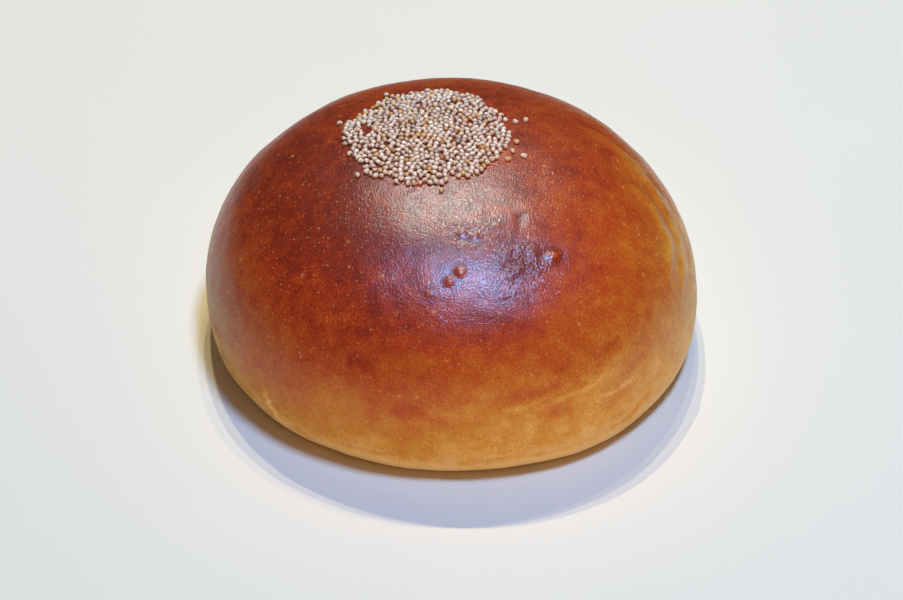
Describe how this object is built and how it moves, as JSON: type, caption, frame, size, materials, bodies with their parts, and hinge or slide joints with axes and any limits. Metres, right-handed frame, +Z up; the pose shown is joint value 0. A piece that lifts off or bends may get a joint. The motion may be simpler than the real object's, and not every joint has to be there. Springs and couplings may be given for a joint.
{
  "type": "bean paste bun",
  "caption": "Round baked bun with a glossy brown crust, a domed crown and a flat base, topped with a round patch of poppy seeds.",
  "frame": {"origin": "on the flat base, under the middle of the bun's outline", "axes": "+Z up from the base to the crown, +X along the bun's slightly longer way across"},
  "size_m": [0.0978, 0.0924, 0.047],
  "materials": {
    "baked_crust": "glazed crust, deep red-brown on the crown, orange to golden tan lower down",
    "poppy_seed_hull": "matt cream seed hull, a few tan"
  },
  "bodies": {
    "root": {"bun": "baked_crust", "poppy_seed_topping": "poppy_seed_hull", "stray_seed_01": "poppy_seed_hull", "stray_seed_02": "poppy_seed_hull", "stray_seed_03": "poppy_seed_hull", "stray_seed_04": "poppy_seed_hull", "stray_seed_05": "poppy_seed_hull", "stray_seed_06": "poppy_seed_hull", "stray_seed_07": "poppy_seed_hull", "stray_seed_08": "poppy_seed_hull", "stray_seed_09": "poppy_seed_hull", "stray_seed_10": "poppy_seed_hull"}
  },
  "joints": []
}
